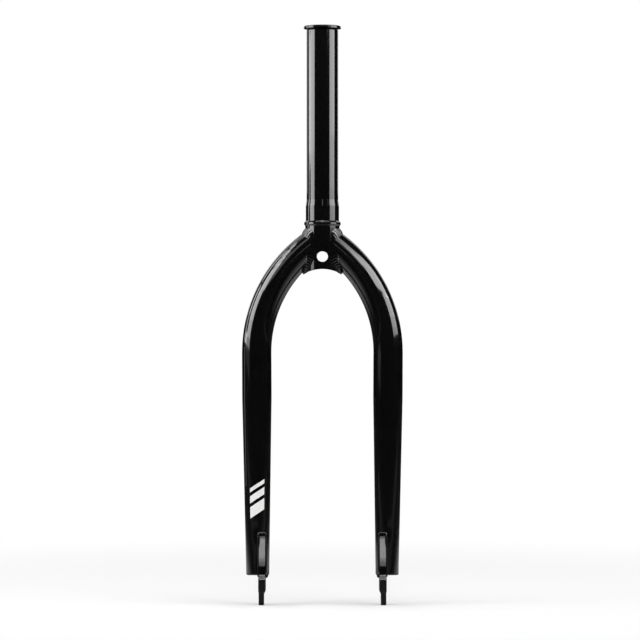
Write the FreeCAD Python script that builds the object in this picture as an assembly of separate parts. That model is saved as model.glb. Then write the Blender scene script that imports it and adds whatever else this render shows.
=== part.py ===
"""Rigid fork for a small-wheel bicycle: welded steel tubes, slotted dropouts and a flanged top bolt.

Millimetres. The origin lies on the steerer axis at the crown seat, where the lower headset bearing rests.
+Z runs up the steerer, -Y is the riding direction and +X is the rider's left.
"""

import FreeCAD, Part
import math
import os

V = FreeCAD.Vector

# Steerer tube, turned from one bar: heights are measured up from the crown seat, drops down from it
STEERER_DIAMETER = 28.6
STEERER_LENGTH = 173.0
STEERER_TOP_CHAMFER = 1.8
SEAT_DIAMETER = 30.0
SEAT_LENGTH = 13.5
SEAT_CONE_LENGTH = 5.5
RACE_DIAMETER = 33.0
RACE_BAND = 1.6
RACE_UNDERCUT_LENGTH = 1.5
STUB_SHOULDER = 2.3
BORE_DIAMETER = 24.0
BUTT_BORE_DIAMETER = 22.4
BUTT_HEIGHT = 30.0
BUTT_CONE_LENGTH = 35.0
BRAKE_HOLE_DIAMETER = 10.0
BRAKE_HOLE_DROP = 32.0
ARCH_BELOW_CROTCH = 3.0
ARCH_RADIUS = 32.0

# Thread of the top bolt, drawn plain at its pitch diameter
THREAD_DIAMETER = 23.0
THREAD_LENGTH = 20.0
THREAD_CLEARANCE = 0.1

# Flanged compression bolt
BOLT_FLANGE_DIAMETER = 33.6
BOLT_FLANGE_THICKNESS = 2.3
BOLT_FLANGE_ROUND = 0.8
BOLT_SHANK_LENGTH = 14.0
BOLT_SHANK_CHAMFER = 1.0
BOLT_HEX_ACROSS_FLATS = 8.0
BOLT_HEX_DEPTH = 8.0
BOLT_HEX_COUNTERSINK = 0.6
BOLT_HOLLOW_DIAMETER = 17.0

# Legs: the bend is tangent to the straight run and brings the leg's axis to the steerer's at the crown drop
LEG_DIAMETER = 26.4
LEG_END_DIAMETER = 20.6
LEG_WALL = 1.6
LEG_END_ROUND = 1.2
LEG_BEND_RADIUS = 118.5
LEG_CROWN_DROP = 15.4
LEG_TAPER_LENGTH = 158.0
LEG_OUTSET = 4.0
LEG_FOOT_HEIGHT = 8.0
LEG_TOE_IN = math.radians(0.35)
LEG_TILT = math.radians(3.5)
LEG_TILT_DROP = 25.0
END_CAP_THICKNESS = 2.0

# Dropout plates
HUB_WIDTH = 100.0
HUB_CLEARANCE = 0.7
DROPOUT_THICKNESS = 6.2
DROPOUT_CHAMFER = 0.4
AXLE_DIAMETER = 10.0
AXLE_DROP = 325.0
WHEEL_OFFSET = 32.0
FRONT_PRONG_WIDTH = 9.0
FRONT_PRONG_DROP = 5.5
REAR_PRONG_WIDTH = 13.0
REAR_PRONG_DROP = 18.4
REAR_PRONG_RELIEF = 1.5
REAR_PRONG_RAMP = 3.0
FRONT_PRONG_ROUND = 2.5
REAR_PRONG_ROUND = 5.0
SLOT_MOUTH_ROUND = 1.5
SHOULDER_FALL = 0.8
SHOULDER_ROUND = 1.5
TANG_LENGTH = 38.0
TANG_SWELL = 5.5
TANG_SWELL_START = 3.0
TANG_SWELL_LENGTH = 26.0
TANG_SWELL_TOP_ROUND = 25.0
TANG_SWELL_FOOT_ROUND = 70.0
TANG_PROUD = 0.8

# Weld metal
CROWN_WELD_LEG = 3.8
TANG_WELD_RADIUS = 1.2
FOOT_WELD_RADIUS = 2.4
WELD_LUMP = 0.15

# Sides of a leg along Y
FRONT = -1
BACK = 1

TILT_PIVOT = V(0, 0, -LEG_TILT_DROP)
FORK_AXIS = V(0, 0, 1)
ACROSS = V(1, 0, 0)
BACKWARD = V(0, 1, 0)
FULL_TURN = 360.0
CLOSE = 1e-4

# The steerer's lower end stands out past the legs on both sides, which leaves a corner for the weld
STUB_DIAMETER = LEG_DIAMETER + 2 * STUB_SHOULDER

DROPOUT_INNER_X = HUB_WIDTH / 2 + HUB_CLEARANCE
DROPOUT_OUTER_X = DROPOUT_INNER_X + DROPOUT_THICKNESS
DROPOUT_MIDDLE_X = DROPOUT_INNER_X + DROPOUT_THICKNESS / 2

# Foot of the leg: its real height, and its drop along the legs before they are tilted
LEG_END_X = DROPOUT_MIDDLE_X + LEG_OUTSET
LEG_END_Z = LEG_FOOT_HEIGHT - AXLE_DROP
LEG_END_DROP = LEG_TILT_DROP - (LEG_END_Z + LEG_TILT_DROP) / math.cos(LEG_TILT)


def revolve_profile(points):
    """Solid of revolution about the steerer axis from a closed outline of (radius, height) points."""
    corners = [V(radius, 0, height) for radius, height in points]
    corners.append(corners[0])
    return Part.Face(Part.makePolygon(corners)).revolve(V(0, 0, 0), FORK_AXIS, FULL_TURN)


def cylinder_between(start, end, radius):
    """Round bar from one point to another."""
    return Part.makeCylinder(radius, start.distanceToPoint(end), start, end.sub(start))


def mirrored(shape):
    """Copy of a left-hand shape on the right-hand side."""
    return shape.mirror(V(0, 0, 0), ACROSS)


def arch_cutter():
    """Bar across the fork that leaves the tyre arch under the crown."""
    half_length = RACE_DIAMETER
    start = ARCH_CENTRE.sub(BACKWARD * half_length)
    return Part.makeCylinder(ARCH_RADIUS, 2 * half_length, start, BACKWARD)


def brake_hole_cutter():
    """Bar that leaves the brake hole through both walls of the steerer."""
    half_length = RACE_DIAMETER
    start = V(0, -half_length, -BRAKE_HOLE_DROP)
    return Part.makeCylinder(BRAKE_HOLE_DIAMETER / 2, 2 * half_length, start, BACKWARD)


def coping_bar():
    """Filled bar of the stub's diameter, from below the arch to above the ends of the legs.

    Its seam is turned away from the left leg, so that the cope is one unbroken curve.
    """
    bar = Part.makeCylinder(STUB_DIAMETER / 2, LEG_DIAMETER - ARCH_CENTRE.z, ARCH_CENTRE, FORK_AXIS)
    bar.rotate(ARCH_CENTRE, FORK_AXIS, FULL_TURN / 2)
    return bar


def steerer_tube():
    """Butted steerer with bearing seat, 45 degree race, brake hole and arched lower end."""
    race_cone = (RACE_DIAMETER - SEAT_DIAMETER) / 2
    race_bottom = -race_cone - RACE_BAND
    thread_bottom = STEERER_LENGTH - THREAD_LENGTH
    thread_step = (BORE_DIAMETER - THREAD_DIAMETER) / 2
    body = revolve_profile([
        (BUTT_BORE_DIAMETER / 2, ARCH_CENTRE.z),
        (STUB_DIAMETER / 2, ARCH_CENTRE.z),
        (STUB_DIAMETER / 2, race_bottom - RACE_UNDERCUT_LENGTH),
        (RACE_DIAMETER / 2, race_bottom),
        (RACE_DIAMETER / 2, -race_cone),
        (SEAT_DIAMETER / 2, 0),
        (SEAT_DIAMETER / 2, SEAT_LENGTH),
        (STEERER_DIAMETER / 2, SEAT_LENGTH + SEAT_CONE_LENGTH),
        (STEERER_DIAMETER / 2, STEERER_LENGTH - STEERER_TOP_CHAMFER),
        (STEERER_DIAMETER / 2 - STEERER_TOP_CHAMFER, STEERER_LENGTH),
        (THREAD_DIAMETER / 2, STEERER_LENGTH),
        (THREAD_DIAMETER / 2, thread_bottom),
        (BORE_DIAMETER / 2, thread_bottom - thread_step),
        (BORE_DIAMETER / 2, BUTT_HEIGHT + BUTT_CONE_LENGTH),
        (BUTT_BORE_DIAMETER / 2, BUTT_HEIGHT),
    ])
    return body.cut([arch_cutter(), brake_hole_cutter()])


def compression_bolt():
    """Flanged top bolt, seated on the steerer's upper end, with a hexagon socket right through."""
    shank_radius = THREAD_DIAMETER / 2 - THREAD_CLEARANCE
    flange_radius = BOLT_FLANGE_DIAMETER / 2
    top = STEERER_LENGTH + BOLT_FLANGE_THICKNESS
    shank_bottom = STEERER_LENGTH - BOLT_SHANK_LENGTH
    body = revolve_profile([
        (0, shank_bottom),
        (shank_radius - BOLT_SHANK_CHAMFER, shank_bottom),
        (shank_radius, shank_bottom + BOLT_SHANK_CHAMFER),
        (shank_radius, STEERER_LENGTH),
        (flange_radius, STEERER_LENGTH),
        (flange_radius, top),
        (0, top),
    ])
    rim = [edge for edge in body.Edges if is_circle_at(edge, flange_radius, top)]
    body = body.makeFillet(BOLT_FLANGE_ROUND, rim)
    corner_radius = BOLT_HEX_ACROSS_FLATS / math.sqrt(3)
    corners = [V(corner_radius, 0, shank_bottom)]
    for turn in range(6):
        angle = math.radians(60 * (turn + 1))
        corners.append(V(corner_radius * math.cos(angle), corner_radius * math.sin(angle), shank_bottom))
    socket = Part.Face(Part.makePolygon(corners)).extrude(V(0, 0, top - shank_bottom))
    sink_radius = corner_radius + BOLT_HEX_COUNTERSINK
    sink = Part.makeCone(0, sink_radius, sink_radius, V(0, 0, top - sink_radius))
    hollow_length = top - BOLT_HEX_DEPTH - shank_bottom
    hollow = Part.makeCylinder(BOLT_HOLLOW_DIAMETER / 2, hollow_length, V(0, 0, shank_bottom))
    return body.cut([socket, sink, hollow])


def is_circle_at(edge, radius, height):
    """True for a level circular edge of that radius and height."""
    if not isinstance(edge.Curve, Part.Circle):
        return False
    fits_radius = math.isclose(edge.Curve.Radius, radius, abs_tol=CLOSE)
    return fits_radius and math.isclose(edge.Curve.Center.z, height, abs_tol=CLOSE)


class LegLine:
    """Centreline of the left leg: a straight run, then a bend of constant radius up to the steerer axis.

    The bend's centre lies one bend radius inward of the run, and as far from the crown point, so the run's
    length is the foot's fall below the crown less the leg of a right triangle with the bend radius as its
    longest side.
    """

    def __init__(self):
        self.crown = V(0, 0, -LEG_CROWN_DROP)
        self.end = V(LEG_END_X, 0, -LEG_END_DROP)
        self.down = V(-math.sin(LEG_TOE_IN), 0, -math.cos(LEG_TOE_IN))
        self.outward = V(math.cos(LEG_TOE_IN), 0, -math.sin(LEG_TOE_IN))
        fall = self.end.sub(self.crown).dot(self.down)
        spread = self.end.sub(self.crown).dot(self.outward)
        self.length = fall - math.sqrt(LEG_BEND_RADIUS ** 2 - (LEG_BEND_RADIUS - spread) ** 2)
        self.bend = self.end - self.down * self.length
        self.centre = self.bend - self.outward * LEG_BEND_RADIUS
        self.taper_start = self.length - LEG_TAPER_LENGTH

    def on_run(self, distance, out=0.0):
        """Point at a distance down the straight run and out from its axis, before the legs are tilted."""
        return self.bend + self.down * distance + self.outward * out

    def radius(self, distance):
        """Outer radius of the leg at a distance down its straight run."""
        if distance <= self.taper_start:
            return LEG_DIAMETER / 2
        share = (distance - self.taper_start) / LEG_TAPER_LENGTH
        return LEG_DIAMETER / 2 + share * (LEG_END_DIAMETER - LEG_DIAMETER) / 2

    def bend_angle(self):
        """Angle of the bend, in degrees, from the straight run to the steerer axis."""
        return math.degrees(self.outward.getAngle(self.crown.sub(self.centre)))

    def crotch_height(self):
        """Height at which the inner side of the bend meets the steerer's stub."""
        inner_radius = LEG_BEND_RADIUS - LEG_DIAMETER / 2
        reach = STUB_DIAMETER / 2 - self.centre.x
        return self.centre.z + math.sqrt(inner_radius ** 2 - reach ** 2)

    def surface_at(self, x, distance, direction):
        """Point on the tilted leg's surface in the plane of that x, before or behind its axis.

        direction is FRONT or BACK.
        """
        axis_point = tilted_point(self.on_run(distance))
        half_chord = math.sqrt(max(self.radius(distance) ** 2 - (x - axis_point.x) ** 2, 0.0))
        return V(x, axis_point.y + direction * half_chord, axis_point.z)


def tilted(shape):
    """Copy of a shape drawn upright, turned with the legs towards the riding direction."""
    copy = shape.copy()
    copy.rotate(TILT_PIVOT, ACROSS, -math.degrees(LEG_TILT))
    return copy


def tilted_point(point):
    """Point drawn upright, turned with the legs."""
    turn = FreeCAD.Rotation(ACROSS, -math.degrees(LEG_TILT))
    return TILT_PIVOT + turn.multVec(point.sub(TILT_PIVOT))


LEG = LegLine()
TANG_TOP = LEG.length - TANG_LENGTH
ARCH_RISE = math.sqrt(ARCH_RADIUS ** 2 - (STUB_DIAMETER / 2) ** 2)
ARCH_CENTRE = V(0, 0, LEG.crotch_height() - ARCH_BELOW_CROTCH - ARCH_RISE)


def leg_bar(inset, end_round):
    """Left leg as a filled bar, inset from its outer surface, with its lower rim rounded."""
    radius = LEG_DIAMETER / 2 - inset
    end_radius = LEG_END_DIAMETER / 2 - inset
    section = Part.Face(Part.Wire(Part.makeCircle(radius, LEG.bend, LEG.down)))
    bend = section.revolve(LEG.centre, BACKWARD * -1, LEG.bend_angle())
    edges = [
        Part.makeLine(LEG.on_run(0), LEG.on_run(0, radius)),
        Part.makeLine(LEG.on_run(0, radius), LEG.on_run(LEG.taper_start, radius)),
    ]
    if end_round > 0:
        shoulder = LEG.on_run(LEG.length - end_round, end_radius)
        toe = LEG.on_run(LEG.length, end_radius - end_round)
        reach = end_round * (1 - math.sqrt(0.5))
        middle = LEG.on_run(LEG.length - reach, end_radius - reach)
        edges.append(Part.makeLine(LEG.on_run(LEG.taper_start, radius), shoulder))
        edges.append(Part.Arc(shoulder, middle, toe).toShape())
        edges.append(Part.makeLine(toe, LEG.end))
    else:
        rim = LEG.on_run(LEG.length, end_radius)
        edges.append(Part.makeLine(LEG.on_run(LEG.taper_start, radius), rim))
        edges.append(Part.makeLine(rim, LEG.end))
    edges.append(Part.makeLine(LEG.end, LEG.bend))
    run = Part.Face(Part.Wire(edges)).revolve(LEG.bend, LEG.down, FULL_TURN)
    return tilted(bend.fuse(run).removeSplitter())


def dropout_slot():
    """Cutter for the slot that holds the tang in the foot of the left leg."""
    top = tilted_point(LEG.on_run(TANG_TOP)).z
    bottom = LEG_END_Z - LEG_END_DIAMETER
    depth = 2 * (WHEEL_OFFSET + LEG_DIAMETER)
    corner = V(DROPOUT_INNER_X, -depth / 2, bottom)
    return Part.makeBox(DROPOUT_THICKNESS, depth, top - bottom, corner)


def left_leg():
    """Bent, tapered tube, coped to the steerer at its top and slotted for the dropout at its foot."""
    tube = leg_bar(0, LEG_END_ROUND).cut(leg_bar(LEG_WALL, 0))
    return tube.cut([coping_bar(), dropout_slot()])


def foot_closures():
    """The half-moons that close the foot of the leg on both sides of the tang."""
    top_distance = LEG.length - END_CAP_THICKNESS
    top_radius = LEG.radius(top_distance) - LEG_WALL
    end_radius = LEG_END_DIAMETER / 2 - LEG_WALL
    plug = Part.makeCone(top_radius, end_radius, END_CAP_THICKNESS, LEG.on_run(top_distance), LEG.down)
    return tilted(plug).cut(dropout_slot()).Solids


def left_end_cap():
    """Half-moon plate that closes the foot of the leg outside the dropout."""
    return max(foot_closures(), key=lambda half_moon: half_moon.CenterOfMass.x)


def rounded_outline(corners):
    """Closed wire through (forward, height, radius) corners, each turned by a tangent arc."""
    points = [V(0, -forward, height) for forward, height, _ in corners]
    stretches = []
    arcs = []
    for index, (_, _, radius) in enumerate(corners):
        here = points[index]
        to_last = points[index - 1].sub(here).normalize()
        to_next = points[(index + 1) % len(points)].sub(here).normalize()
        half_angle = to_last.getAngle(to_next) / 2
        reach = radius / math.tan(half_angle)
        start = here + to_last * reach
        finish = here + to_next * reach
        stretches.append((start, finish))
        inward = (to_last + to_next).normalize()
        middle = here + inward * (radius / math.sin(half_angle) - radius)
        arcs.append(Part.Arc(start, middle, finish).toShape() if radius > 0 else None)
    edges = []
    for index, arc in enumerate(arcs):
        if arc:
            edges.append(arc)
        finish = stretches[index][1]
        next_start = stretches[(index + 1) % len(stretches)][0]
        if not finish.isEqual(next_start, CLOSE):
            edges.append(Part.makeLine(finish, next_start))
    return Part.Wire(edges)


def left_dropout():
    """Plate with a tang that swells out of the leg, a shoulder and two prongs about the axle slot."""
    slot_front = WHEEL_OFFSET + AXLE_DIAMETER / 2
    slot_back = WHEEL_OFFSET - AXLE_DIAMETER / 2
    front = slot_front + FRONT_PRONG_WIDTH
    back = slot_back - REAR_PRONG_WIDTH
    front_tip = -AXLE_DROP - FRONT_PRONG_DROP
    back_tip = -AXLE_DROP - REAR_PRONG_DROP
    swell_end = TANG_TOP + TANG_SWELL_START + TANG_SWELL_LENGTH
    tang_top = LEG.surface_at(DROPOUT_MIDDLE_X, TANG_TOP, FRONT)
    swell_top = LEG.surface_at(DROPOUT_MIDDLE_X, TANG_TOP + TANG_SWELL_START, FRONT)
    swell_foot = LEG.surface_at(DROPOUT_MIDDLE_X, swell_end, FRONT)
    foot = LEG.surface_at(DROPOUT_MIDDLE_X, LEG.length, FRONT)
    tang_back = LEG.surface_at(DROPOUT_MIDDLE_X, TANG_TOP, BACK)
    foot_back = LEG.surface_at(DROPOUT_MIDDLE_X, LEG.length, BACK)
    slot_top = -AXLE_DROP + AXLE_DIAMETER / 2
    outline = rounded_outline([
        (-tang_top.y, tang_top.z, 0),
        (-swell_top.y, swell_top.z, TANG_SWELL_TOP_ROUND),
        (-swell_foot.y + TANG_SWELL, swell_foot.z, TANG_SWELL_FOOT_ROUND),
        (-foot.y + TANG_SWELL, LEG_END_Z, SHOULDER_ROUND),
        (front, LEG_END_Z - SHOULDER_FALL, SHOULDER_ROUND),
        (front, front_tip, FRONT_PRONG_ROUND),
        (slot_front, front_tip, SLOT_MOUTH_ROUND),
        (slot_front, slot_top, AXLE_DIAMETER / 2),
        (slot_back, slot_top, AXLE_DIAMETER / 2),
        (slot_back, back_tip, SLOT_MOUTH_ROUND),
        (back, back_tip, REAR_PRONG_ROUND),
        (-foot_back.y - TANG_PROUD, LEG_END_Z, REAR_PRONG_ROUND),
        (-tang_back.y - TANG_PROUD, tang_back.z, 0),
    ])
    plate = Part.Face(outline).extrude(V(DROPOUT_THICKNESS, 0, 0))
    rims = [edge for edge in plate.Edges if edge.BoundBox.XLength < DROPOUT_CHAMFER]
    plate = plate.makeChamfer(DROPOUT_CHAMFER, rims)
    plate.translate(V(DROPOUT_INNER_X, 0, 0))
    return plate.cut(prong_relief())


def prong_relief():
    """Cutter that thins the rear prong on its inner face, below a ramp at the front prong's tip."""
    top = -AXLE_DROP - FRONT_PRONG_DROP
    bottom = -AXLE_DROP - REAR_PRONG_DROP - REAR_PRONG_RAMP
    outline = [
        (DROPOUT_INNER_X - REAR_PRONG_RELIEF, top),
        (DROPOUT_INNER_X, top),
        (DROPOUT_INNER_X + REAR_PRONG_RELIEF, top - REAR_PRONG_RAMP),
        (DROPOUT_INNER_X + REAR_PRONG_RELIEF, bottom),
        (DROPOUT_INNER_X - REAR_PRONG_RELIEF, bottom),
    ]
    corners = [V(x, -WHEEL_OFFSET, z) for x, z in outline]
    corners.append(corners[0])
    return Part.Face(Part.makePolygon(corners)).extrude(BACKWARD * (AXLE_DIAMETER + REAR_PRONG_WIDTH))


def left_dropout_weld(plate):
    """Round beads along both sides of the tang, across its top and under the foot of the leg.

    The bead under the foot is thicker inside the tang, and the narrow half-moon there is filled with weld
    metal too.
    """
    beads = []
    for x, foot_radius in ((DROPOUT_INNER_X, FOOT_WELD_RADIUS), (DROPOUT_OUTER_X, TANG_WELD_RADIUS)):
        feet = [LEG.surface_at(x, LEG.length, direction) for direction in (FRONT, BACK)]
        tops = [LEG.surface_at(x, TANG_TOP, direction) for direction in (FRONT, BACK)]
        beads.append(cylinder_between(feet[0], feet[1], foot_radius))
        beads += [cylinder_between(top, foot, TANG_WELD_RADIUS) for top, foot in zip(tops, feet)]
        beads += [Part.makeSphere(TANG_WELD_RADIUS + WELD_LUMP, top) for top in tops]
        beads += [Part.makeSphere(foot_radius + WELD_LUMP, foot) for foot in feet]
    for direction in (FRONT, BACK):
        start = LEG.surface_at(DROPOUT_INNER_X, TANG_TOP, direction)
        end = LEG.surface_at(DROPOUT_OUTER_X, TANG_TOP, direction)
        beads.append(cylinder_between(start, end, TANG_WELD_RADIUS))
    metal = beads[0].fuse(beads[1:]).cut(plate).cut(leg_bar(0, LEG_END_ROUND))
    for half_moon in foot_closures():
        if half_moon.CenterOfMass.x < DROPOUT_INNER_X:
            metal = metal.fuse(half_moon)
    return metal


def left_crown_weld():
    """Flat-faced weld metal where the leg is coped to the steerer, trimmed to the tyre arch."""
    joint = coping_bar().fuse(leg_bar(0, 0))
    corners = [edge for edge in joint.Edges if is_cope(edge)]
    filled = joint.makeChamfer(CROWN_WELD_LEG, corners)
    return filled.cut(joint).cut([arch_cutter(), brake_hole_cutter()])


def is_cope(edge):
    """True for an edge of the curve along which the leg meets the steerer's stub."""
    if isinstance(edge.Curve, (Part.Circle, Part.Line)):
        return False
    for share in (0.0, 0.25, 0.5, 0.75, 1.0):
        point = edge.valueAt(edge.FirstParameter + share * (edge.LastParameter - edge.FirstParameter))
        if not math.isclose(math.hypot(point.x, point.y), STUB_DIAMETER / 2, abs_tol=10 * CLOSE):
            return False
    return True


def write(name, shape):
    """Write one node as a STEP file."""
    shape.exportStep("parts/" + name + ".step")
    print(name, shape.isValid(), len(shape.Solids), round(shape.Volume, 1))


def main():
    """Build every node and write it; the right-hand pieces mirror the left-hand ones."""
    os.makedirs("parts", exist_ok=True)
    write("steerer_tube", steerer_tube())
    write("compression_bolt", compression_bolt())
    plate = left_dropout()
    left_pieces = {
        "leg": left_leg(),
        "leg_end_cap": left_end_cap(),
        "dropout": plate,
        "dropout_weld": left_dropout_weld(plate),
        "crown_weld": left_crown_weld(),
    }
    for piece, shape in left_pieces.items():
        write("left_" + piece, shape)
        write("right_" + piece, mirrored(shape))


main()
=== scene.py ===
"""Looks for a rigid fork of a small-wheel bicycle: gloss black paint, rippled weld beads and a white decal.

Metres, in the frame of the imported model: the origin lies on the steerer axis at the crown seat, +Z runs up
the steerer, -Y is the riding direction and +X is the rider's left.
"""

import logging
import math
from dataclasses import dataclass, field
from enum import Enum

import bpy
import numpy as np
from numpy.typing import NDArray
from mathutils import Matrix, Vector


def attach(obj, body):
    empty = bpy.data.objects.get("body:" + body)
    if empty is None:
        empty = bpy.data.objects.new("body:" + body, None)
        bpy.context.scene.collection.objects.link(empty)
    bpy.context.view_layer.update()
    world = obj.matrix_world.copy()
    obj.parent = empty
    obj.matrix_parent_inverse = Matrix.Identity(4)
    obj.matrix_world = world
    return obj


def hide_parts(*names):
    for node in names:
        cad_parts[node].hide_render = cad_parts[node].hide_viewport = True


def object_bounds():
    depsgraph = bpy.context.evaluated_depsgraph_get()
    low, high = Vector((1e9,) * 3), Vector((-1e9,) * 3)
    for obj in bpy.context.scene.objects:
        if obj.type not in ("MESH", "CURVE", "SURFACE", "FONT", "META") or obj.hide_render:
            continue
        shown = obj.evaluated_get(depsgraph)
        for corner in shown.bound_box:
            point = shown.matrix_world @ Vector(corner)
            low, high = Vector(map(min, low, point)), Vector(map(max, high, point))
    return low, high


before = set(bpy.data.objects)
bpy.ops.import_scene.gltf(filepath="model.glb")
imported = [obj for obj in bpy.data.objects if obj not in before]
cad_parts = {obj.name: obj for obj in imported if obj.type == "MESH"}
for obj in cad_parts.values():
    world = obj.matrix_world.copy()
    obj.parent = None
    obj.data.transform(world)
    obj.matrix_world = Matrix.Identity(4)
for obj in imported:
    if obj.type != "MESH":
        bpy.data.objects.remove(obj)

CAD_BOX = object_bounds()
BODY = "root"
BOLT_NODE = "compression_bolt"

Points = NDArray[np.float64]
Quads = NDArray[np.int64]
Colour = tuple[float, float, float]
Span = tuple[float, float]
Node = bpy.types.Node
Socket = bpy.types.NodeSocket
Piece = bpy.types.Object

LEVEL_SHARE = np.array([1.0, 1.0, 0.0])
REARWARD = np.array([0.0, 1.0, 0.0])
LEAST_SAMPLES = 8
EASING_PASSES = 2

log = logging.getLogger("fork")


class Side(Enum):
    """Side of the fork, as the sign of its x."""

    LEFT = 1
    RIGHT = -1

    def node(self, piece: str) -> str:
        """Name of a CAD node or a piece on this side."""
        return f"{self.name.lower()}_{piece}"

    def place(self, points: Points) -> Points:
        """Points drawn on the left-hand side, mirrored where this is the right."""
        return points * np.array([self.value, 1.0, 1.0])


class Facing(Enum):
    """Face of a leg along the riding direction, as the sign of its y."""

    FRONT = -1
    BACK = 1


# Small helpers for arrays and meshes


def unit(vectors: Points) -> Points:
    """Vectors scaled to a length of one."""
    return vectors / np.linalg.norm(vectors, axis=-1, keepdims=True)


def smooth_step(value: Points, low: float, high: float) -> Points:
    """Zero below low, one above high, with a cubic ease between them."""
    share = np.clip((value - low) / (high - low), 0.0, 1.0)
    return share * share * (3 - 2 * share)


def loop_length(path: Points) -> float:
    """Length of a closed path."""
    return float(np.linalg.norm(np.roll(path, -1, axis=0) - path, axis=1).sum())


def even_loop(path: Points, step: float) -> Points:
    """Closed path sampled again at even distances.

    Args:
        path: x, y and z of the loop's points, without the first one repeated, and any further columns.
        step: wanted distance between samples.

    Returns:
        Rows at whole shares of the loop's length, each column interpolated along the given rows.
    """
    closed = np.vstack([path, path[:1]])
    run = np.concatenate([[0.0], np.cumsum(np.linalg.norm(np.diff(closed[:, :3], axis=0), axis=1))])
    count = max(int(round(run[-1] / step)), LEAST_SAMPLES)
    places = np.linspace(0.0, run[-1], count, endpoint=False)
    return np.stack([np.interp(places, run, column) for column in closed.T], axis=1)


def rounded_loop(path: Points, window: int) -> Points:
    """Closed path with its corners eased by running means.

    Args:
        path: evenly spaced points of the loop.
        window: number of samples in one mean.

    Returns:
        As many points, each the mean of the samples round it, taken once in every pass.
    """
    kernel = np.ones(window) / window
    for _ in range(EASING_PASSES):
        padded = np.vstack([path[-window:], path, path[:window]])
        eased = [np.convolve(padded[:, axis], kernel, mode="same") for axis in range(3)]
        path = np.stack(eased, axis=1)[window:-window]
    return path


def loop_tangents(path: Points) -> Points:
    """Unit directions along a closed path, from the neighbours of each point."""
    return unit(np.roll(path, -1, axis=0) - np.roll(path, 1, axis=0))


def mesh_piece(name: str, points: Points, quads: Quads) -> Piece:
    """Object made of quads, smooth shaded, with its faces turned outwards.

    Args:
        name: name of the piece.
        points: corner positions, one row each.
        quads: four corner numbers a row.

    Returns:
        The linked object, at the origin. A closed shape whose signed volume, the sum of the corner triple
        products over its triangles, comes out negative is turned inside out first.
    """
    a, b, c, d = (points[quads[:, corner]] for corner in range(4))
    volume = np.einsum("ij,ij->", a, np.cross(b, c)) + np.einsum("ij,ij->", a, np.cross(c, d))
    if volume < 0:
        quads = quads[:, ::-1]
    mesh = bpy.data.meshes.new(name)
    mesh.from_pydata(points.tolist(), [], quads.tolist())
    mesh.polygons.foreach_set("use_smooth", np.ones(len(quads), dtype=bool))
    mesh.update()
    piece = bpy.data.objects.new(name, mesh)
    bpy.context.scene.collection.objects.link(piece)
    return piece


def grid_quads(rows: int, columns: int, wrap_rows: bool, wrap_columns: bool) -> Quads:
    """Corner numbers of the quads of a grid.

    Args:
        rows: number of rows of points.
        columns: number of points in a row.
        wrap_rows: whether the last row joins the first.
        wrap_columns: whether the last column joins the first.

    Returns:
        Four corner numbers a row, for points that are counted row by row.
    """
    row = np.arange(rows if wrap_rows else rows - 1)[:, None]
    column = np.arange(columns if wrap_columns else columns - 1)[None, :]
    next_row = (row + 1) % rows
    next_column = (column + 1) % columns
    corners = [
        row * columns + column,
        next_row * columns + column,
        next_row * columns + next_column,
        row * columns + next_column,
    ]
    return np.stack([np.broadcast_to(c, (row.size, column.size)) for c in corners], axis=-1).reshape(-1, 4)


# Finishes


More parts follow.
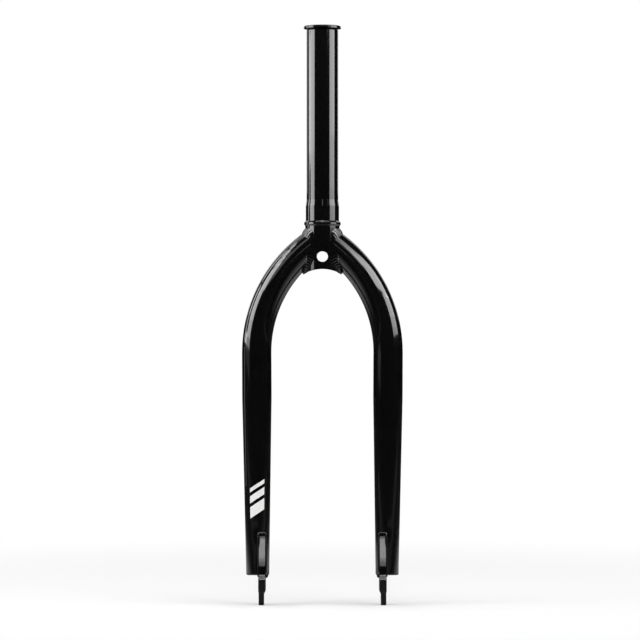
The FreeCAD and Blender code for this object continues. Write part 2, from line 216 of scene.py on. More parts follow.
class NodeSheet:
    """Node tree of one material or world, filled by short calls."""

    def __init__(self, tree: bpy.types.NodeTree) -> None:
        """Start from an empty tree."""
        self.tree = tree
        tree.nodes.clear()

    def add(self, kind: str, **settings: object) -> Node:
        """New node.

        Args:
            kind: the node's type.
            **settings: its properties by name.

        Returns:
            The node, not yet wired.
        """
        node = self.tree.nodes.new(kind)
        for key, value in settings.items():
            setattr(node, key, value)
        return node

    def link(self, source: Socket, target: Socket) -> None:
        """Wire one socket to another."""
        self.tree.links.new(source, target)

    def noise(self, place: Socket, scale: float, detail: float) -> Socket:
        """Fractal noise.

        Args:
            place: coordinates that it reads.
            scale: its scale per metre.
            detail: number of finer layers.

        Returns:
            The noise's height from 0 to 1.
        """
        node = self.add("ShaderNodeTexNoise")
        node.inputs["Scale"].default_value = scale
        node.inputs["Detail"].default_value = detail
        self.link(place, node.inputs["Vector"])
        return node.outputs["Fac"]

    def ramp(self, source: Socket, low: float, high: float) -> Socket:
        """Share mapped to a range.

        Args:
            source: share from 0 to 1.
            low: value at 0.
            high: value at 1.

        Returns:
            The value, on a straight line between the two.
        """
        node = self.add("ShaderNodeMapRange")
        node.inputs["To Min"].default_value = low
        node.inputs["To Max"].default_value = high
        self.link(source, node.inputs["Value"])
        return node.outputs["Result"]

    def ease(self, source: Socket, start: float, stop: float) -> Socket:
        """Smooth step between two values.

        Args:
            source: the value that is compared.
            start: where the step is still zero.
            stop: where it has reached one, above start or below it.

        Returns:
            The step's share.
        """
        node = self.add("ShaderNodeMapRange", interpolation_type="SMOOTHSTEP")
        node.inputs["From Min"].default_value = min(start, stop)
        node.inputs["From Max"].default_value = max(start, stop)
        node.inputs["To Min"].default_value = 0.0 if start < stop else 1.0
        node.inputs["To Max"].default_value = 1.0 if start < stop else 0.0
        self.link(source, node.inputs["Value"])
        return node.outputs["Result"]

    def combine(self, operation: str, first: Socket, second: Socket) -> Socket:
        """Two values put together.

        Args:
            operation: name of the math node's operation.
            first: one value.
            second: the other value.

        Returns:
            The result.
        """
        node = self.add("ShaderNodeMath", operation=operation)
        self.link(first, node.inputs[0])
        self.link(second, node.inputs[1])
        return node.outputs["Value"]

    def times(self, first: Socket, second: Socket) -> Socket:
        """Product of two values."""
        return self.combine("MULTIPLY", first, second)

    def larger(self, first: Socket, second: Socket) -> Socket:
        """The larger of two values."""
        return self.combine("MAXIMUM", first, second)

    def blend(self, share: Socket, first: Colour, second: Colour | Socket) -> Socket:
        """Mix of two colours.

        Args:
            share: 0 for the first colour, 1 for the second.
            first: a plain colour.
            second: a plain colour, or a socket that gives one.

        Returns:
            The mixed colour.
        """
        node = self.add("ShaderNodeMix", data_type="RGBA")
        start, stop = (socket for socket in node.inputs if socket.type == "RGBA")
        start.default_value = (*first, 1.0)
        if isinstance(second, tuple):
            stop.default_value = (*second, 1.0)
        else:
            self.link(second, stop)
        self.link(share, node.inputs[0])
        return next(socket for socket in node.outputs if socket.type == "RGBA")

    def bump(self, height: Socket, depth: float, strength: float) -> Socket:
        """Surface normal bent by a height.

        Args:
            height: the height from 0 to 1.
            depth: what a height of 1 stands for, in metres.
            strength: share of the bend that shows.

        Returns:
            The bent normal.
        """
        node = self.add("ShaderNodeBump")
        node.inputs["Strength"].default_value = strength
        node.inputs["Distance"].default_value = depth
        self.link(height, node.inputs["Height"])
        return node.outputs["Normal"]


@dataclass(frozen=True)
class Finish:
    """Surface finish of a piece."""

    name: str

    def material(self) -> bpy.types.Material:
        """The finish as a material.

        Returns:
            The material of that name, made on the first call and shared after it.
        """
        found = bpy.data.materials.get(self.name)
        if found:
            return found
        made = bpy.data.materials.new(self.name)
        made.use_nodes = True
        sheet = NodeSheet(made.node_tree)
        shader = sheet.add("ShaderNodeBsdfPrincipled")
        place = sheet.add("ShaderNodeTexCoord").outputs["Object"]
        self.dress(sheet, shader, place)
        output = sheet.add("ShaderNodeOutputMaterial")
        sheet.link(shader.outputs["BSDF"], output.inputs["Surface"])
        return made

    def dress(self, sheet: NodeSheet, shader: Node, place: Socket) -> None:
        """Set the shader's sockets; each finish does this its own way."""
        raise NotImplementedError

    def put_on(self, piece: Piece) -> None:
        """Give the finish to a piece, in place of any other."""
        piece.data.materials.clear()
        piece.data.materials.append(self.material())


@dataclass(frozen=True)
class GlossPaint(Finish):
    """Sprayed enamel under a clear coat, with orange peel and a faint drift of tone."""

    colour: Colour = (0.0020, 0.0020, 0.0023)
    drift_colour: Colour = (0.0042, 0.0041, 0.0040)
    drift_scale: float = 38.0
    drift_detail: float = 3.0
    roughness: Span = (0.07, 0.13)
    roughness_scale: float = 160.0
    roughness_detail: float = 4.0
    peel_scale: float = 620.0
    peel_detail: float = 1.5
    peel_depth: float = 0.00012
    peel_strength: float = 0.035
    coat_weight: float = 1.0
    coat_roughness: float = 0.045

    def dress(self, sheet: NodeSheet, shader: Node, place: Socket) -> None:
        """Tone from a slow noise, roughness from a quicker one, orange peel as bump.

        Args:
            sheet: the material's node tree.
            shader: its shader.
            place: Object coordinates.
        """
        drift = sheet.noise(place, self.drift_scale, self.drift_detail)
        sheet.link(sheet.blend(drift, self.colour, self.drift_colour), shader.inputs["Base Color"])
        cloud = sheet.noise(place, self.roughness_scale, self.roughness_detail)
        sheet.link(sheet.ramp(cloud, *self.roughness), shader.inputs["Roughness"])
        peel = sheet.noise(place, self.peel_scale, self.peel_detail)
        normal = sheet.bump(peel, self.peel_depth, self.peel_strength)
        sheet.link(normal, shader.inputs["Normal"])
        sheet.link(normal, shader.inputs["Coat Normal"])
        shader.inputs["Coat Weight"].default_value = self.coat_weight
        shader.inputs["Coat Roughness"].default_value = self.coat_roughness


@dataclass(frozen=True)
class TurnedBlack(Finish):
    """Blackened turned metal: fine rings about the steerer axis and a half-gloss sheen."""

    colour: Colour = (0.0024, 0.0024, 0.0027)
    worn_colour: Colour = (0.0060, 0.0058, 0.0056)
    wear_scale: float = 240.0
    wear_detail: float = 4.0
    ring_scale: float = 900.0
    ring_distortion: float = 0.6
    ring_depth: float = 0.00002
    ring_strength: float = 0.12
    roughness: Span = (0.09, 0.17)
    coat_weight: float = 0.6
    coat_roughness: float = 0.08

    def dress(self, sheet: NodeSheet, shader: Node, place: Socket) -> None:
        """Rings round z as bump, with tone and roughness from a noise.

        Args:
            sheet: the material's node tree.
            shader: its shader.
            place: Object coordinates.
        """
        rings = sheet.add("ShaderNodeTexWave", wave_type="RINGS", rings_direction="Z")
        rings.inputs["Scale"].default_value = self.ring_scale
        rings.inputs["Distortion"].default_value = self.ring_distortion
        sheet.link(place, rings.inputs["Vector"])
        wear = sheet.noise(place, self.wear_scale, self.wear_detail)
        sheet.link(sheet.blend(wear, self.colour, self.worn_colour), shader.inputs["Base Color"])
        sheet.link(sheet.ramp(wear, *self.roughness), shader.inputs["Roughness"])
        normal = sheet.bump(rings.outputs["Fac"], self.ring_depth, self.ring_strength)
        sheet.link(normal, shader.inputs["Normal"])
        shader.inputs["Coat Weight"].default_value = self.coat_weight
        shader.inputs["Coat Roughness"].default_value = self.coat_roughness


@dataclass(frozen=True)
class WhiteFilm(Finish):
    """White printed film with a faint grain."""

    colour: Colour = (0.86, 0.86, 0.855)
    grain_colour: Colour = (0.79, 0.79, 0.78)
    grain_scale: float = 1400.0
    grain_detail: float = 3.0
    grain_depth: float = 0.00002
    grain_strength: float = 0.2
    roughness: Span = (0.30, 0.42)

    def dress(self, sheet: NodeSheet, shader: Node, place: Socket) -> None:
        """Grain in tone, roughness and bump from one fine noise.

        Args:
            sheet: the material's node tree.
            shader: its shader.
            place: Object coordinates.
        """
        grain = sheet.noise(place, self.grain_scale, self.grain_detail)
        sheet.link(sheet.blend(grain, self.colour, self.grain_colour), shader.inputs["Base Color"])
        sheet.link(sheet.ramp(grain, *self.roughness), shader.inputs["Roughness"])
        sheet.link(sheet.bump(grain, self.grain_depth, self.grain_strength), shader.inputs["Normal"])


PAINT = GlossPaint("gloss_black_paint")
WELD_PAINT = GlossPaint("gloss_black_paint_on_weld", peel_scale=760.0, peel_strength=0.24)
BOLT_BLACK = TurnedBlack("satin_black_turned")
DECAL_WHITE = WhiteFilm("white_decal_film")


# The fork's sizes and surfaces


@dataclass(frozen=True)
class Stub:
    """Lower end of the steerer that the legs are coped to, cut off below by the tyre arch."""

    radius: float = 0.0155
    arch_radius: float = 0.032
    arch_centre_z: float = -0.07496

    def normals(self, points: Points) -> Points:
        """Outward directions of the round wall."""
        return unit(points * LEVEL_SHARE)

    def onto(self, points: Points, sink: float) -> Points:
        """Points moved level onto the wall, sunk below it by that much."""
        return points * (1 - LEVEL_SHARE) + self.normals(points) * (self.radius - sink)

    def above_arch(self, points: Points, overhang: float) -> Points:
        """Points kept out of the arch.

        Args:
            points: places near the stub.
            overhang: how far they may stand into the arch.

        Returns:
            The points, those too deep inside the arch's circle moved straight out from its centre line.
        """
        reach = np.hypot(points[..., 0], points[..., 2] - self.arch_centre_z)
        least = self.arch_radius - overhang
        growth = np.where(reach < least, least / reach, 1.0)
        moved = points.copy()
        moved[..., 0] = points[..., 0] * growth
        moved[..., 2] = self.arch_centre_z + (points[..., 2] - self.arch_centre_z) * growth
        return moved


@dataclass(frozen=True)
class LegTube:
    """Outer surface of the left leg: a bend from the steerer axis and a tapered run down to the foot.

    The whole leg is drawn in the xz plane and then turned forward about a level line through the tilt
    height. The cope is looked for between two turns of the bend.
    """

    radius: float = 0.0132
    end_radius: float = 0.0103
    bend_radius: float = 0.1185
    crown_z: float = -0.0154
    foot_x: float = 0.0578
    foot_z: float = -0.317
    taper_length: float = 0.158
    toe_in: float = math.radians(0.35)
    tilt: float = math.radians(3.5)
    tilt_z: float = -0.025
    cope_turns: Span = (0.2, 1.2)
    cope_halvings: int = 48
    normal_reach: float = 0.001

    @property
    def down(self) -> Points:
        """Direction of the straight run before the tilt."""
        return np.array([-math.sin(self.toe_in), 0.0, -math.cos(self.toe_in)])

    @property
    def outward(self) -> Points:
        """Direction square to the run, away from the steerer."""
        return np.array([math.cos(self.toe_in), 0.0, -math.sin(self.toe_in)])

    @property
    def foot(self) -> Points:
        """End of the axis before the tilt."""
        return np.array([self.foot_x, 0.0, self.tilt_z + (self.foot_z - self.tilt_z) / math.cos(self.tilt)])

    @property
    def run_length(self) -> float:
        """Length of the straight run.

        The bend touches the run and ends on the steerer axis, so the run is the foot's fall along it less
        the side of a right triangle whose longest side is the bend radius.
        """
        from_crown = self.foot - np.array([0.0, 0.0, self.crown_z])
        spread = from_crown @ self.outward
        side = math.sqrt(self.bend_radius ** 2 - (self.bend_radius - spread) ** 2)
        return float(from_crown @ self.down) - side

    def tilted(self, points: Points) -> Points:
        """Points turned forward with the legs.

        Args:
            points: places before the tilt.

        Returns:
            Each turned by the tilt in its own upright plane of riding, about the tilt height.
        """
        cos, sin = math.cos(self.tilt), math.sin(self.tilt)
        turned = points.copy()
        turned[..., 1] = points[..., 1] * cos + (points[..., 2] - self.tilt_z) * sin
        turned[..., 2] = self.tilt_z - points[..., 1] * sin + (points[..., 2] - self.tilt_z) * cos
        return turned

    def bend(self, turn: Points, around: Points, grow: float = 0.0) -> Points:
        """Surface of the bend.

        Args:
            turn: angle up the bend from the top of the run.
            around: angle round the section, from its outer side towards the back.
            grow: distance outside the surface.

        Returns:
            The arc's centre, plus the bend radius along the spoke of that turn, plus the tube's radius round
            the section that the spoke and y span.
        """
        centre = self.foot - self.down * self.run_length - self.outward * self.bend_radius
        spoke = np.cos(turn)[..., None] * self.outward - np.sin(turn)[..., None] * self.down
        ring = np.cos(around)[..., None] * spoke + np.sin(around)[..., None] * REARWARD
        return self.tilted(centre + self.bend_radius * spoke + (self.radius + grow) * ring)

    def tube_radius(self, above_foot: float | Points) -> float | Points:
        """Radius of the run at a distance above the foot, growing evenly over the taper."""
        share = np.clip(above_foot / self.taper_length, 0.0, 1.0)
        return self.end_radius + share * (self.radius - self.end_radius)

    def run(self, above_foot: Points, around: Points, grow: Points) -> Points:
        """Surface of the straight run.

        Args:
            above_foot: distance up the run from the foot.
            around: angle round the section, from its outer side towards the back.
            grow: distance outside the surface.

        Returns:
            The axis point at that distance, plus the tapered radius round the section.
        """
        radius = self.tube_radius(above_foot) + grow
        ring = np.cos(around)[..., None] * self.outward + np.sin(around)[..., None] * REARWARD
        return self.tilted(self.foot - self.down * above_foot[..., None] + radius[..., None] * ring)

    def edge_point(self, x: float, above_foot: float, facing: Facing) -> Points:
        """Point of the surface in an upright plane of riding.

        Args:
            x: place of the plane.
            above_foot: distance up the run from the foot.
            facing: the front or the back of the leg.

        Returns:
            The point half a chord of the section away from its axis.
        """
        axis = self.tilted(self.foot - self.down * above_foot)
        half_chord = math.sqrt(self.tube_radius(above_foot) ** 2 - (x - axis[0]) ** 2)
        return np.array([x, axis[1] + facing.value * half_chord, axis[2]])

    def cope(self, stub: Stub, count: int) -> Points:
        """Curve along which the bend meets the stub.

        Each angle round the section has one turn at which the surface lies one stub radius from the steerer
        axis, found by halving the interval for all angles at once.

        Args:
            stub: the wall that the leg is coped to.
            count: number of angles.

        Returns:
            Rows of a point, the bend's normal there, and the cosine of the angle round the section, which is
            1 on the outer side of the bend and -1 in the crotch.
        """
        around = np.linspace(0.0, 2 * math.pi, count, endpoint=False)
        low, high = (np.full(count, turn) for turn in self.cope_turns)
        for _ in range(self.cope_halvings):
            middle = (low + high) / 2
            points = self.bend(middle, around)
            outside = np.hypot(points[:, 0], points[:, 1]) > stub.radius
            low = np.where(outside, middle, low)
            high = np.where(outside, high, middle)
        points = self.bend(low, around)
        normals = unit(self.bend(low, around, self.normal_reach) - points)
        return np.column_stack([points, normals, np.cos(around)])


@dataclass(frozen=True)
class Ripple:
    """Crescent ripples that a welder leaves along a bead."""

    pitch: float
    height: float
    bow: float
    seed: int
    least_height: float = 0.65
    lean: float = 0.65

    def relief(self, along: Points, across: Points, length: float) -> Points:
        """Height of the ripples.

        Each ripple rises steeply and falls away slowly, as the sine of half a turn times its own share to
        the power of the lean, which is below one. Its crest is bowed back at both edges of the bead, and its
        height is drawn between a least share and the whole.

        Args:
            along: distance along the bead, as a column.
            across: place across the bead from -1 to 1, as a row.
            length: length of the whole bead, which holds a whole number of ripples.

        Returns:
            Heights over the grid.
        """
        count = max(int(round(length / self.pitch)), 1)
        phase = along / length * count + self.bow * across ** 2
        number = np.floor(phase).astype(int) % count
        own_height = np.random.default_rng(self.seed).uniform(self.least_height, 1.0, count)[number]
        share = phase - np.floor(phase)
        return self.height * own_height * np.sin(math.pi * share ** self.lean)


@dataclass
class CrownWeld:
    """Bead of weld metal round the cope of one leg, a little narrower in the crotch than on top.

    The bands are spans of the cosine round the leg's section, over which one look passes into another.
    """

    side: Side
    stub: Stub
    leg: LegTube
    stub_toe: float = 0.0056
    stub_toe_low: float = 0.0052
    leg_toe: float = 0.0044
    leg_toe_low: float = 0.0034
    low_band: Span = (-0.45, 0.15)
    highest_toe: float = -0.0068
    swell: float = 0.00042
    calm_swell: float = -0.00010
    calm_ripple: float = 0.10
    top_band: Span = (0.25, 0.75)
    crotch_band: Span = (-0.70, -0.40)
    root_depth: float = 0.0012
    toe_sink: float = 0.00012
    arch_overhang: float = 0.0003
    step: float = 0.00022
    cope_samples: int = 1440
    columns: int = 29
    ripple: Ripple = field(default_factory=lambda: Ripple(pitch=0.0023, height=0.00044, bow=0.55, seed=11))

    def toes(self, path: Points, leg_normal: Points, outer: Points) -> tuple[Points, Points]:
        """Edges of the bead.

        Args:
            path: points of the cope.
            leg_normal: the leg's normals there.
            outer: cosine round the leg's section, as a column.

        Returns:
            The edge on the stub and the edge on the leg, each a reach away from the cope along its wall and
            sunk into it. The leg falls away from its tangent by the reach squared over its diameter.
        """
        stub_normal = self.stub.normals(path)
        tangent = loop_tangents(path)
        on_stub = self.away(np.cross(tangent, stub_normal), leg_normal)
        on_leg = self.away(np.cross(tangent, leg_normal), stub_normal)
        low_share = 1 - smooth_step(outer, *self.low_band)
        stub_reach = self.stub_toe + low_share * (self.stub_toe_low - self.stub_toe)
        leg_reach = self.leg_toe + low_share * (self.leg_toe_low - self.leg_toe)
        stub_toe = self.stub.onto(path + stub_reach * on_stub, self.toe_sink)
        stub_toe[:, 2] = np.minimum(stub_toe[:, 2], self.highest_toe)
        fall = leg_reach ** 2 / (2 * self.leg.radius) + self.toe_sink
        return stub_toe, path + leg_reach * on_leg - leg_normal * fall

    def build(self) -> Piece:
        """Bead as one closed ring.

        The section runs from a toe on the stub to a toe on the leg as a straight chord raised by a parabola
        and the ripples, and closes through a root point under the corner of the two tubes. The ripples are
        strong over the top and in the crotch and nearly smooth at the front and the back.

        Returns:
            The painted bead.
        """
        cope = even_loop(self.leg.cope(self.stub, self.cope_samples), self.step)
        path, leg_normal, outer = cope[:, :3], unit(cope[:, 3:6]), cope[:, 6:]
        stub_toe, leg_toe = self.toes(path, leg_normal, outer)
        out = unit(self.stub.normals(path) + leg_normal)
        length = loop_length(path)
        along = np.arange(len(path))[:, None] * (length / len(path))
        share = np.linspace(0.0, 1.0, self.columns)[None, :]
        arch = 4 * share * (1 - share)
        lively = np.maximum(smooth_step(outer, *self.top_band), 1 - smooth_step(outer, *self.crotch_band))
        strength = self.calm_ripple + lively * (1 - self.calm_ripple)
        relief = strength * self.ripple.relief(along, 2 * share - 1, length) * np.sqrt(arch)
        swell = self.calm_swell + lively * (self.swell - self.calm_swell)
        chord = stub_toe[:, None] * (1 - share)[..., None] + leg_toe[:, None] * share[..., None]
        top = chord + out[:, None] * (swell * arch + relief)[..., None]
        root = path - out * self.root_depth
        section = np.concatenate([top, root[:, None]], axis=1)
        section = self.stub.above_arch(section, self.arch_overhang)
        rows, columns = section.shape[:2]
        points = self.side.place(section.reshape(-1, 3))
        name = self.side.node("crown_weld_bead")
        piece = mesh_piece(name, points, grid_quads(rows, columns, True, True))
        WELD_PAINT.put_on(piece)
        return piece

    @staticmethod
    def away(directions: Points, normals: Points) -> Points:
        """Unit directions, each turned to the side that its normal points to."""
        sign = np.sign(np.einsum("ij,ij->i", directions, normals))
        return unit(directions) * sign[:, None]


@dataclass
class DropoutWeld:
    """Bead that runs round the tang of one dropout: down the front, under the foot and up the back."""

    side: Side
    leg: LegTube
    inner_x: float = 0.0507
    outer_x: float = 0.0569
    tang_length: float = 0.038
    radius: float = 0.0012
    foot_radius: float = 0.0024
    foot_band: Span = (-0.001, 0.004)
    top_radius: float = 0.0008
    top_reach: float = 0.004
    step: float = 0.00022
    corner_samples: int = 10
    columns: int = 24
    ripple: Ripple = field(default_factory=lambda: Ripple(pitch=0.0017, height=0.00016, bow=0.5, seed=23))

    def route(self) -> Points:
        """Corners of the loop round the tang.

        Returns:
            Points down the front and up the back of its inner face, then the same way back on the outer one.
        """
        down = [(self.tang_length, Facing.FRONT), (0.0, Facing.FRONT)]
        turns = down + [(0.0, Facing.BACK), (self.tang_length, Facing.BACK)]
        inner = [self.leg.edge_point(self.inner_x, *turn) for turn in turns]
        outer = [self.leg.edge_point(self.outer_x, *turn) for turn in reversed(turns)]
        return np.array(inner + outer)

    def radii(self, path: Points) -> Points:
        """Radius of the bead along its path.

        Args:
            path: points of the eased route.

        Returns:
            A column of radii that grow under the foot, on the inner face of the plate, and shrink towards
            the top of the tang.
        """
        low, high = (self.leg.foot_z + edge for edge in self.foot_band)
        foot_share = 1 - smooth_step(path[:, 2:3], low, high)
        foot_share *= 1 - smooth_step(path[:, 0:1], self.inner_x, self.outer_x)
        highest = path[:, 2].max()
        top_share = smooth_step(path[:, 2:3], highest - self.top_reach, highest)
        radius = self.radius + foot_share * (self.foot_radius - self.radius)
        return radius + top_share * (self.top_radius - self.radius)

    def build(self) -> Piece:
        """Bead as a round ring along the eased route, with ripples on its open side.

        Returns:
            The painted bead.
        """
        corners = self.route()
        path = rounded_loop(even_loop(corners, self.step), self.corner_samples)
        tangent = loop_tangents(path)
        out = path - corners.mean(axis=0)
        out = unit(out - tangent * np.einsum("ij,ij->i", out, tangent)[:, None])
        aside = np.cross(tangent, out)
        length = loop_length(path)
        along = np.arange(len(path))[:, None] * (length / len(path))
        angle = np.linspace(0.0, 2 * math.pi, self.columns, endpoint=False)[None, :]
        open_side = np.clip(np.cos(angle), 0.0, 1.0)
        radius = self.radii(path) + self.ripple.relief(along, np.sin(angle), length) * open_side
        ring = np.cos(angle)[..., None] * out[:, None] + np.sin(angle)[..., None] * aside[:, None]
        points = self.side.place((path[:, None] + radius[..., None] * ring).reshape(-1, 3))
        name = self.side.node("dropout_weld_bead")
        piece = mesh_piece(name, points, grid_quads(len(path), self.columns, True, True))
        WELD_PAINT.put_on(piece)
        return piece


@dataclass
class LegDecal:
    """White slanted bars of falling height printed across the front of one leg."""

    side: Side
    leg: LegTube
    bottom: float = 0.0545
    bar_heights: tuple[float, ...] = (0.0100, 0.0064, 0.0036)
    bar_gap: float = 0.0034
    slant: float = 0.0042
    half_width: float = 0.0072
    thickness: float = 0.00006
    columns: int = 33

    def bar(self, low: float, high: float) -> Points:
        """Closed skin of one bar.

        Args:
            low: height of its lower edge above the foot, in the middle of the leg.
            high: height of its upper edge there.

        Returns:
            Four rows of points, back, face, face and back. Heights change across the leg by the slant each
            way; the face stands off the paint by the thickness and the back is sunk by as much.
        """
        half_angle = math.asin(self.half_width / self.leg.radius)
        across = np.linspace(-1.0, 1.0, self.columns)[None, :]
        rows = np.array([low, low, high, high])[:, None]
        stand = np.array([-1.0, 1.0, 1.0, -1.0])[:, None] * self.thickness
        around = np.broadcast_to(-math.pi / 2 + across * half_angle, (len(rows), self.columns))
        return self.leg.run(rows - across * self.slant, around, stand)

    def build(self) -> Piece:
        """All bars as one piece, the highest bar at the bottom.

        Returns:
            The dressed bars, flat shaded so that their edges stay sharp.
        """
        points = []
        quads = []
        low = self.bottom
        for number, height in enumerate(self.bar_heights):
            skin = self.bar(low, low + height)
            rows, columns = skin.shape[:2]
            first = number * rows * columns
            start = np.arange(rows) * columns
            ends = np.array([start, (start + columns - 1)[::-1]])
            points.append(skin.reshape(-1, 3))
            quads += [grid_quads(rows, columns, True, False) + first, ends + first]
            low += height + self.bar_gap
        piece = mesh_piece(self.side.node("leg_decal"), self.side.place(np.vstack(points)), np.vstack(quads))
        piece.data.polygons.foreach_set("use_smooth", np.zeros(len(piece.data.polygons), dtype=bool))
        DECAL_WHITE.put_on(piece)
        return piece


@dataclass
class Fork:
    """The whole dressed fork: finishes on the CAD nodes, and the pieces that stand on or for them."""

    stub: Stub = field(default_factory=Stub)
    leg: LegTube = field(default_factory=LegTube)

    def dress_nodes(self) -> None:
        """Give every CAD node its finish."""
        for name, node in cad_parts.items():
            finish = BOLT_BLACK if name == BOLT_NODE else PAINT
            finish.put_on(node)
            log.info("finish %s on %s", finish.name, name)

    def add_pieces(self) -> None:
        """Weld beads on both sides, in place of the plain ones, and the decal on the right leg."""
        for side in Side:
            self.stand_in(CrownWeld(side, self.stub, self.leg).build(), side.node("crown_weld"))
            self.stand_in(DropoutWeld(side, self.leg).build(), side.node("dropout_weld"))
        decal = LegDecal(Side.RIGHT, self.leg).build()
        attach(decal, BODY)
        log.info("piece %s with %d faces", decal.name, len(decal.data.polygons))

    @staticmethod
    def stand_in(piece: Piece, node: str) -> None:
        """Let a piece ride on the fork and stand for a CAD node.

        Args:
            piece: the finished piece.
            node: name of the node.
        """
        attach(piece, BODY)
        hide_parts(node)
        log.info("piece %s with %d faces stands for %s", piece.name, len(piece.data.polygons), node)


# The studio


@dataclass(frozen=True)
class Softbox:
    """Rectangular lamp that faces the steerer axis.

    Its bearing is counted in degrees from the camera's side towards +X, its distance is level, and its pitch
    in degrees turns it down from upright.
    """

    name: str
    bearing: float
    distance: float
    centre_z: float
    width: float
    height: float
    radiance: float
    pitch: float = 0.0

    def hang(self) -> None:
        """Add the lamp, with the power that gives its panel the wanted radiance."""
        lamp = bpy.data.lights.new(self.name, "AREA")
        lamp.shape = "RECTANGLE"
        lamp.size = self.width
        lamp.size_y = self.height
        lamp.energy = self.radiance * math.pi * self.width * self.height
        angle = math.radians(self.bearing)
        stand = bpy.data.objects.new(self.name, lamp)
        stand.location = (math.sin(angle) * self.distance, -math.cos(angle) * self.distance, self.centre_z)
        stand.rotation_euler = (math.radians(90.0 - self.pitch), 0.0, angle)
        bpy.context.scene.collection.objects.link(stand)


@dataclass(frozen=True)
class SidePanel:
    """Upright lamp round the fork, given by the bearings and the heights that it spans."""

    name: str
    first_bearing: float
    last_bearing: float
    low_z: float
    high_z: float
    radiance: float
    distance: float = 0.7

    def softbox(self) -> Softbox:
        """The panel as a softbox.

        Returns:
            An upright one, as wide as the two bearings are apart at that distance.
        """
        half_angle = math.radians(abs(self.last_bearing - self.first_bearing) / 2)
        bearing = (self.first_bearing + self.last_bearing) / 2
        width = 2 * self.distance * math.tan(half_angle)
        height = self.high_z - self.low_z
        middle_z = (self.low_z + self.high_z) / 2
        return Softbox(self.name, bearing, self.distance, middle_z, width, height, self.radiance)


@dataclass(frozen=True)
class LampBank:
    """Column of softboxes far in front, dim at the bottom and brighter upwards.

    Each one fills the same step of elevation in degrees, seen from the fork's feet, and the radiance grows
    with the square of the share of the way up.
    """

    name: str
    bearing: float
    distance: float = 5.0
    width: float = 0.08
    base_z: float = -0.29
    elevation: Span = (12.0, 40.0)
    radiance: Span = (1.8, 20.0)
    count: int = 8

    def softboxes(self) -> list[Softbox]:
        """The bank's lamps.

        Returns:
            One softbox for each step, from the lowest up.
        """
        edges = np.linspace(*self.elevation, self.count + 1)
        heights = self.base_z + self.distance * np.tan(np.radians(edges))
        dim, bright = self.radiance
        radiances = dim + (bright - dim) * np.linspace(0.0, 1.0, self.count) ** 2
        lamps = []
        for step, (low, high, radiance) in enumerate(zip(heights, heights[1:], radiances)):
            name = f"{self.name}_{step}"
            middle_z = (low + high) / 2
            height = high - low
            lamps.append(Softbox(name, self.bearing, self.distance, middle_z, self.width, height, radiance))
        return lamps


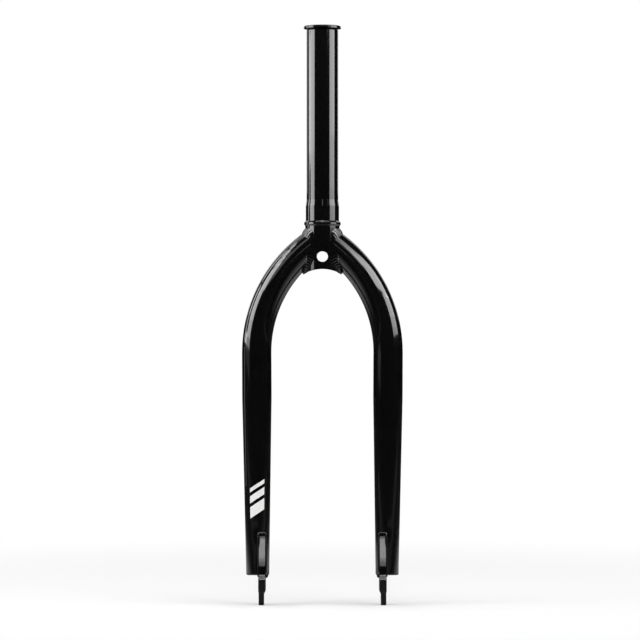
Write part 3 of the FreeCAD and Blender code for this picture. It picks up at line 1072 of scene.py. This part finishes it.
@dataclass(frozen=True)
class Studio:
    """Pale floor, soft lamps, white surroundings, and the camera far in front of the fork.

    In reflections the floor is painted in a shade of its own, darker than the camera sees it, in two tones,
    below the fork and aside of it, which sets how dark the fork's lower surfaces look. The spans
    gloss_strip, gloss_front and gloss_far say where one passes into the other, where they begin in front and
    where they drop far away. Reflections see white surroundings where the y of their direction passes
    gloss_behind.
    Within white_ring the floor runs out to white for the camera.
    """

    camera_x: float = -0.00216
    camera_z: float = -0.0891
    camera_distance: float = 2.7
    focal_pixels: float = 3000.0
    image_pixels: float = 640.0
    sensor: float = 36.0
    clip_end: float = 200.0
    floor_rings: tuple[float, ...] = (0.0, 0.5, 2.0, 8.0, 30.0)
    floor_sides: int = 96
    floor_colour: Colour = (0.80, 0.80, 0.80)
    # Painted shade of the floor in reflections: dim below the fork, paler aside, dimmer far away
    floor_shade_in_gloss: Span = (0.10, 0.52)
    gloss_strip: Span = (0.15, 0.30)
    gloss_front: Span = (-0.80, 0.0)
    gloss_far: Span = (1.30, 0.50)
    gloss_far_shade: float = 0.10
    white_ring: Span = (0.10, 0.90)
    gloss_behind: Span = (0.96, 0.999)
    world_light: float = 0.38
    # Name, first and last bearing, lower and upper edge, radiance, and a distance other than the usual one
    side_panels: tuple[SidePanel, ...] = (
        SidePanel("left_foot", -60.0, -93.0, -0.10, -0.05, 0.18),
        SidePanel("left_low", -60.0, -93.0, -0.05, 0.0, 2.0),
        SidePanel("left_seat", -60.0, -93.0, 0.0, 0.10, 3.8),
        SidePanel("left_middle", -59.0, -94.0, 0.10, 0.28, 4.5),
        SidePanel("left_fill", -94.0, -107.0, 0.235, 0.515, 4.7, 3.6),
        SidePanel("left_high", -52.0, -93.0, 0.28, 0.52, 5.0),
        SidePanel("left_bend", -60.0, -99.0, 0.52, 0.62, 4.5),
        SidePanel("left_upper", -66.0, -106.0, 0.62, 0.73, 3.9),
        SidePanel("left_crown", -76.0, -112.0, 0.73, 0.85, 3.1),
        SidePanel("left_top", -96.0, -116.0, 0.85, 1.25, 0.9),
        SidePanel("left_front", -34.0, -52.0, 0.28, 0.58, 0.8),
        SidePanel("left_front_high", -34.0, -47.0, 0.58, 0.85, 0.9),
        SidePanel("left_edge_foot", -91.0, -94.5, -0.24, -0.11, 0.6, 0.12),
        SidePanel("left_edge_low", -107.0, -115.0, -0.05, 0.10, 2.0),
        SidePanel("left_edge_middle", -107.0, -115.0, 0.10, 0.28, 4.0),
        SidePanel("left_edge_high", -116.0, -126.0, 0.28, 0.58, 2.6),
        SidePanel("left_edge_upper", -122.0, -132.0, 0.58, 0.85, 1.6),
        SidePanel("right_low", 53.0, 95.0, 0.015, 0.06, 2.6),
        SidePanel("right_seat", 53.0, 95.0, 0.06, 0.12, 3.2),
        SidePanel("right_middle", 53.0, 97.0, 0.12, 0.262, 3.9),
        SidePanel("right_high", 35.0, 95.0, 0.262, 0.40, 4.7),
        SidePanel("right_turn", 32.0, 95.0, 0.40, 0.54, 4.6),
        SidePanel("right_bend", 32.0, 94.0, 0.54, 0.62, 3.8),
        SidePanel("right_upper", 33.0, 87.0, 0.62, 0.70, 2.9),
        SidePanel("right_crown", 34.0, 68.0, 0.70, 1.02, 2.2),
        SidePanel("right_front", 24.0, 32.0, 0.28, 0.58, 1.0),
        SidePanel("foot_left", -90.0, -30.0, -0.34, -0.25, 0.15, 5.0),
        SidePanel("foot_front", -30.0, 30.0, -0.34, -0.25, 0.15, 5.0),
        SidePanel("foot_right", 30.0, 90.0, -0.34, -0.25, 0.15, 5.0),
    )
    # Name, bearing, distance, height of the centre, width, height, radiance and pitch
    softboxes: tuple[Softbox, ...] = (
        Softbox("top", 0.0, 0.6, 1.75, 1.40, 1.20, 1.8, 72.0),
        Softbox("overhead", 0.0, 0.0, 2.00, 1.60, 0.80, 0.6, 90.0),
        Softbox("rear_left", -152.0, 1.8, 0.75, 0.50, 1.30, 0.8),
        Softbox("rear_right", 152.0, 1.8, 0.75, 0.50, 1.30, 0.8),
    )
    banks: tuple[LampBank, ...] = (
        LampBank("front_left", -1.8),
        LampBank("front_right", 1.8),
    )

    def add_camera(self) -> None:
        """Level camera whose eye height and side shift come from the photograph's framing."""
        lens = bpy.data.cameras.new("camera")
        lens.sensor_width = self.sensor
        lens.lens = self.focal_pixels / self.image_pixels * self.sensor
        lens.clip_end = self.clip_end
        camera = bpy.data.objects.new("camera", lens)
        camera.location = (self.camera_x, -self.camera_distance, self.camera_z)
        camera.rotation_euler = (math.pi / 2, 0.0, 0.0)
        bpy.context.scene.collection.objects.link(camera)
        bpy.context.scene.camera = camera

    def add_floor(self, height: float) -> None:
        """Round floor under the fork, a fan of rings so that its centre is closed.

        Args:
            height: z of the floor.
        """
        angle = np.linspace(0.0, 2 * math.pi, self.floor_sides, endpoint=False)
        radius = np.array(self.floor_rings)
        rings = np.stack([
            radius[:, None] * np.cos(angle),
            radius[:, None] * np.sin(angle),
            np.full((len(radius), len(angle)), height),
        ], axis=-1)
        quads = grid_quads(len(radius), len(angle), False, True)
        floor = mesh_piece("floor", rings.reshape(-1, 3), quads)
        floor.data.materials.append(self.floor_material())

    def floor_material(self) -> bpy.types.Material:
        """Pale floor that takes shadows near the fork, with painted shade in reflections.

        Returns:
            A matt material that reflections see in a painted shade of its own, darker than the camera sees
            it, and that the camera sees run out to white.
        """
        made = bpy.data.materials.new("studio_floor")
        made.use_nodes = True
        sheet = NodeSheet(made.node_tree)
        place = sheet.add("ShaderNodeTexCoord").outputs["Object"]
        length = sheet.add("ShaderNodeVectorMath", operation="LENGTH")
        sheet.link(place, length.inputs[0])
        reach = length.outputs["Value"]
        ray = sheet.add("ShaderNodeLightPath").outputs
        near = sheet.add("ShaderNodeBsdfDiffuse")
        painted_gloss_shade = self.painted_gloss_shade(sheet, place, reach)
        # Glossy rays see the floor in painted shade, the camera sees its own pale colour
        sheet.link(sheet.blend(ray["Is Glossy Ray"], self.floor_colour, painted_gloss_shade), near.inputs["Color"])
        far = sheet.add("ShaderNodeEmission")
        mix = sheet.add("ShaderNodeMixShader")
        sheet.link(sheet.times(sheet.ease(reach, *self.white_ring), ray["Is Camera Ray"]), mix.inputs["Fac"])
        sheet.link(near.outputs["BSDF"], mix.inputs[1])
        sheet.link(far.outputs["Emission"], mix.inputs[2])
        output = sheet.add("ShaderNodeOutputMaterial")
        sheet.link(mix.outputs["Shader"], output.inputs["Surface"])
        return made

    def painted_gloss_shade(self, sheet: NodeSheet, place: Socket, reach: Socket) -> Socket:
        """Painted shade: the tone of the floor in reflections, darker than what the camera sees.

        Args:
            sheet: the floor's node tree.
            place: place on the floor.
            reach: distance from the origin.

        Returns:
            A dim strip below the fork, paler on both sides of it, falling off to the front and far away.
        """
        split = sheet.add("ShaderNodeSeparateXYZ")
        sheet.link(place, split.inputs["Vector"])
        aside = sheet.add("ShaderNodeMath", operation="ABSOLUTE")
        sheet.link(split.outputs["X"], aside.inputs[0])
        strip = sheet.ramp(sheet.ease(aside.outputs["Value"], *self.gloss_strip), *self.floor_shade_in_gloss)
        front = sheet.ease(split.outputs["Y"], *self.gloss_front)
        far = sheet.ramp(sheet.ease(reach, *self.gloss_far), self.gloss_far_shade, 1.0)
        return sheet.times(sheet.times(strip, front), far)

    def add_world(self) -> None:
        """White for what the camera sees, and for gloss straight to the back; dim light on matt surfaces."""
        world = bpy.data.worlds.new("studio")
        world.use_nodes = True
        bpy.context.scene.world = world
        sheet = NodeSheet(world.node_tree)
        ray = sheet.add("ShaderNodeLightPath").outputs
        split = sheet.add("ShaderNodeSeparateXYZ")
        sheet.link(sheet.add("ShaderNodeTexCoord").outputs["Generated"], split.inputs["Vector"])
        gloss = sheet.times(ray["Is Glossy Ray"], sheet.ease(split.outputs["Y"], *self.gloss_behind))
        seen = sheet.larger(ray["Is Camera Ray"], ray["Is Transmission Ray"])
        dim = sheet.ramp(ray["Is Diffuse Ray"], 0.0, self.world_light)
        background = sheet.add("ShaderNodeBackground")
        background.inputs["Color"].default_value = (1.0, 1.0, 1.0, 1.0)
        sheet.link(sheet.larger(sheet.larger(seen, gloss), dim), background.inputs["Strength"])
        output = sheet.add("ShaderNodeOutputWorld")
        sheet.link(background.outputs["Background"], output.inputs["Surface"])

    def build(self, floor_z: float) -> None:
        """Set up everything round the fork.

        Args:
            floor_z: height of the floor.
        """
        bpy.context.scene.view_settings.view_transform = "Standard"
        self.add_camera()
        self.add_floor(floor_z)
        self.add_world()
        panels = [panel.softbox() for panel in self.side_panels]
        columns = [lamp for bank in self.banks for lamp in bank.softboxes()]
        for softbox in (*panels, *self.softboxes, *columns):
            softbox.hang()


def main() -> None:
    """Dress the fork, then put it in the studio."""
    logging.basicConfig(level=logging.INFO, format="%(message)s")
    fork = Fork()
    fork.dress_nodes()
    fork.add_pieces()
    Studio().build(CAD_BOX[0].z)


if __name__ == "__main__":
    main()
